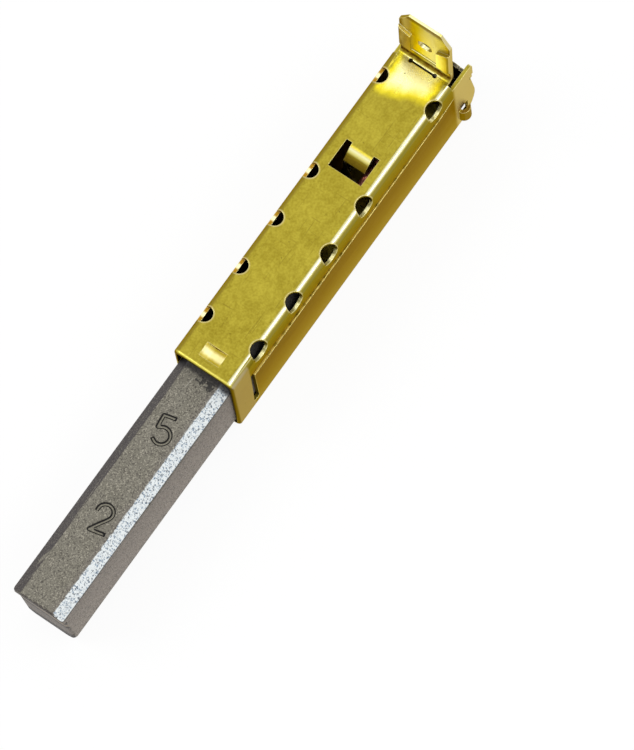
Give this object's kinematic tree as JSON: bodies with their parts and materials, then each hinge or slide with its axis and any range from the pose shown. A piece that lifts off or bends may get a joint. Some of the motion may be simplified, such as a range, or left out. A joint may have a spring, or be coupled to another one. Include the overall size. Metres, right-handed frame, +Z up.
{
  "type": "carbon brush",
  "caption": "Carbon brush for a small commutator motor: a chamfered carbon block pushed by a coil spring along a folded brass holder with an upright spade terminal.",
  "frame": {"origin": "middle of the bounding box in X and Y, on the surface that the holder's floor rests on", "axes": "+X along the brush, towards the carbon's running face; +Z up, the way the spade terminal stands; +Y across the brush"},
  "size_m": [0.0716, 0.009, 0.0235],
  "materials": {
    "holder_brass": "satin",
    "carbon": "matte",
    "spring_steel": "satin",
    "braided_copper": "satin",
    "tamped_powder": "matte"
  },
  "bodies": {
    "holder": {"brush_holder": "holder_brass", "coil_spring": "spring_steel", "shunt_lead": "braided_copper"},
    "carbon": {"carbon_block": "carbon", "tamping_plug": "tamped_powder"}
  },
  "joints": [
    {"name": "carbon_slide", "type": "slide", "parent": "holder", "child": "carbon", "axis": [1, 0, 0], "range_m": [-0.02, 0], "stiffness_N_per_m": 120, "springref_m": 0.005, "deforming": ["coil_spring", "shunt_lead"]}
  ]
}
